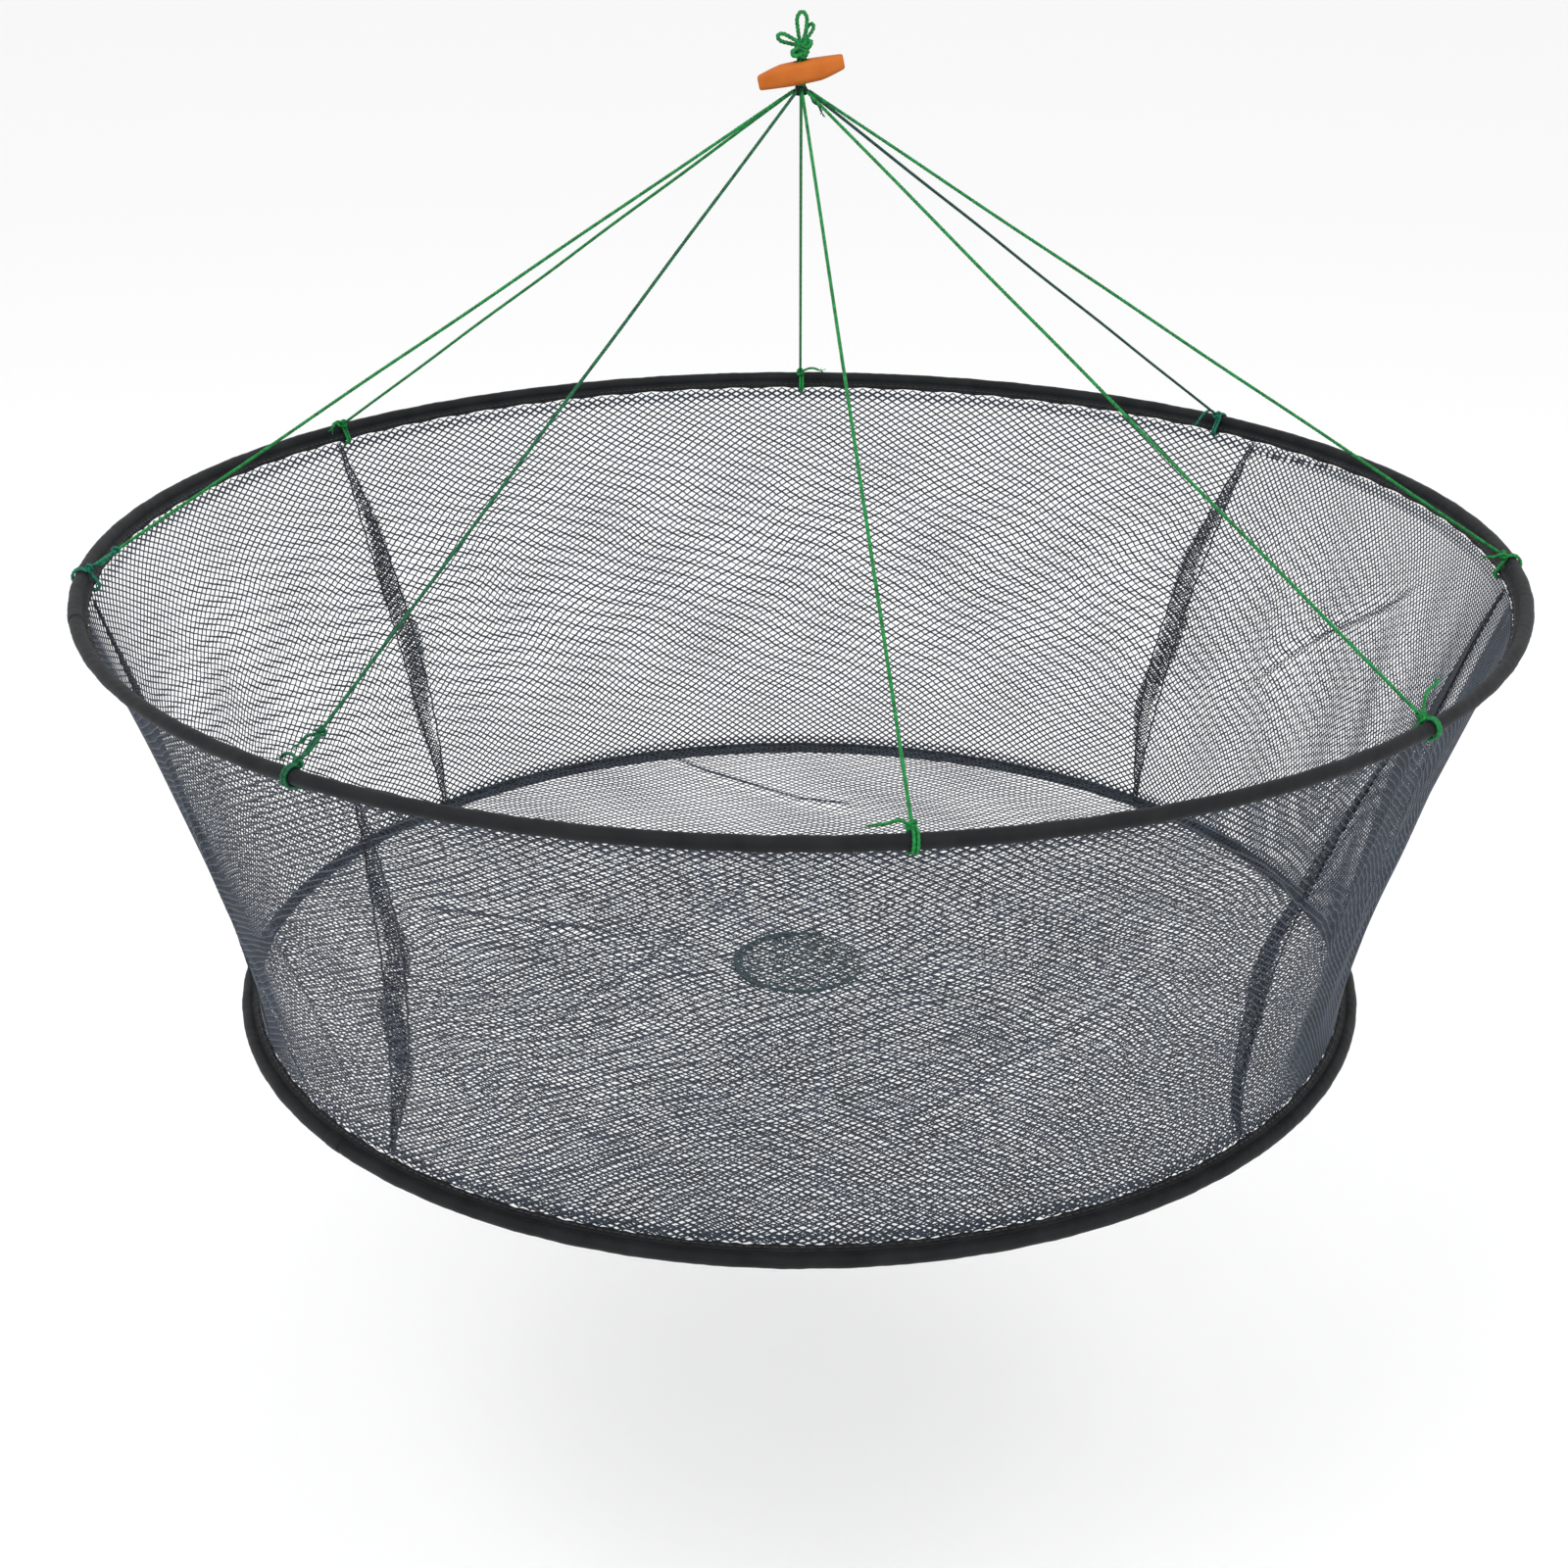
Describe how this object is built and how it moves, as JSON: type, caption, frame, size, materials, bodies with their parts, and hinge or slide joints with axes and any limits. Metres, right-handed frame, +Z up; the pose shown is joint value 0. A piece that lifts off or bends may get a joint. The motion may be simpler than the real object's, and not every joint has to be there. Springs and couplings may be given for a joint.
{
  "type": "folding crab trap",
  "caption": "Round folding drop net for crabs and shrimp: large top hoop, smaller bottom hoop, tapered fine net wall, net floor, and a cord bridle gathered under a float.",
  "frame": {"origin": "inside the crown of the hauling knot's top loop, on the trap's axis, where a hauling line pulls", "axes": "+Z up along the trap's axis, +X to the right and +Y away from the viewer of the float's long side"},
  "size_m": [0.8013, 0.8019, 0.5523],
  "materials": {
    "net": "fine knotless nylon mesh, matt",
    "net_doubled": "doubled nylon mesh, matt",
    "sleeve_fabric": "close-woven nylon sleeve with a soft sheen",
    "stitching_thread": "twisted polyester thread",
    "spring_steel": "drawn spring steel",
    "ferrule_metal": "crimped",
    "green_cord": "twisted polyethylene cord with a slight sheen",
    "dark_cord": "twisted cord, dark green",
    "float_orange": "painted closed-cell foam, matt"
  },
  "bodies": {
    "bridle_head": {"hauling_knot": "green_cord", "gather_whipping": "dark_cord", "bridle_cord_1": "green_cord", "bridle_cord_2": "green_cord", "bridle_cord_3": "green_cord", "bridle_cord_4": "green_cord", "bridle_cord_5": "green_cord", "bridle_cord_6": "green_cord", "bridle_cord_7": "green_cord", "bridle_cord_8": "green_cord"},
    "float": {"float": "float_orange"},
    "top_hoop": {"top_hoop_wire": "spring_steel", "top_hoop_ferrule": "ferrule_metal", "top_hoop_sleeve": "sleeve_fabric", "top_stitching": "stitching_thread", "rim_knot_1": "green_cord", "rim_knot_2": "green_cord", "rim_knot_3": "green_cord", "rim_knot_4": "green_cord", "rim_knot_5": "green_cord", "rim_knot_6": "green_cord", "rim_knot_7": "green_cord", "rim_knot_8": "green_cord", "wall_panel_1": "net", "wall_panel_2": "net", "wall_panel_3": "net", "wall_panel_4": "net", "wall_panel_5": "net", "wall_panel_6": "net", "wall_seam_1": "net_doubled", "wall_seam_2": "net_doubled", "wall_seam_3": "net_doubled", "wall_seam_4": "net_doubled", "wall_seam_5": "net_doubled", "wall_seam_6": "net_doubled"},
    "bottom_hoop": {"bottom_hoop_wire": "spring_steel", "bottom_hoop_ferrule": "ferrule_metal", "bottom_hoop_sleeve": "sleeve_fabric", "bottom_stitching": "stitching_thread", "floor_net": "net", "centre_patch": "net_doubled"}
  },
  "joints": [
    {"name": "float_swivel", "type": "hinge", "parent": "bridle_head", "child": "float", "pos_m": [0, 0, -0.02943], "axis": [0, 0, 1], "continuous": true},
    {"name": "bridle", "type": "slide", "parent": "bridle_head", "child": "top_hoop", "axis": [0, 0, 1], "range_m": [0, 0.235], "deforming": ["bridle_cord_1", "bridle_cord_2", "bridle_cord_3", "bridle_cord_4", "bridle_cord_5", "bridle_cord_6", "bridle_cord_7", "bridle_cord_8"]},
    {"name": "fold", "type": "slide", "parent": "top_hoop", "child": "bottom_hoop", "axis": [0, 0, 1], "range_m": [0, 0.25], "deforming": ["wall_panel_1", "wall_panel_2", "wall_panel_3", "wall_panel_4", "wall_panel_5", "wall_panel_6", "wall_seam_1", "wall_seam_2", "wall_seam_3", "wall_seam_4", "wall_seam_5", "wall_seam_6"]}
  ]
}
